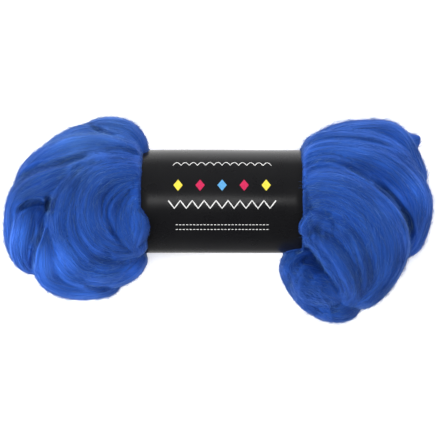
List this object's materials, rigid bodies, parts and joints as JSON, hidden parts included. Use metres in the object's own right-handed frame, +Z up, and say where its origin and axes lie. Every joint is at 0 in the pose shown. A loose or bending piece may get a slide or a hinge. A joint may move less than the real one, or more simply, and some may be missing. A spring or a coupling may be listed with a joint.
{
  "type": "hank of carded wool",
  "caption": "Hank of blue carded wool roving, folded to and fro so that soft loops bulge from both ends of an oval black card sleeve round its waist.",
  "frame": {"origin": "on the surface that the hank lies on, under the middle of its bounding box", "axes": "+X along the hank and its sleeve, +Y across it, +Z up from the surface"},
  "size_m": [0.3229, 0.1557, 0.0842],
  "materials": {
    "wool": "matt combed fibre with a faint silky sheen along its flow",
    "card": "black printed card, satin"
  },
  "bodies": {
    "root": {"wool_hank": "wool", "card_sleeve": "card"}
  },
  "joints": []
}
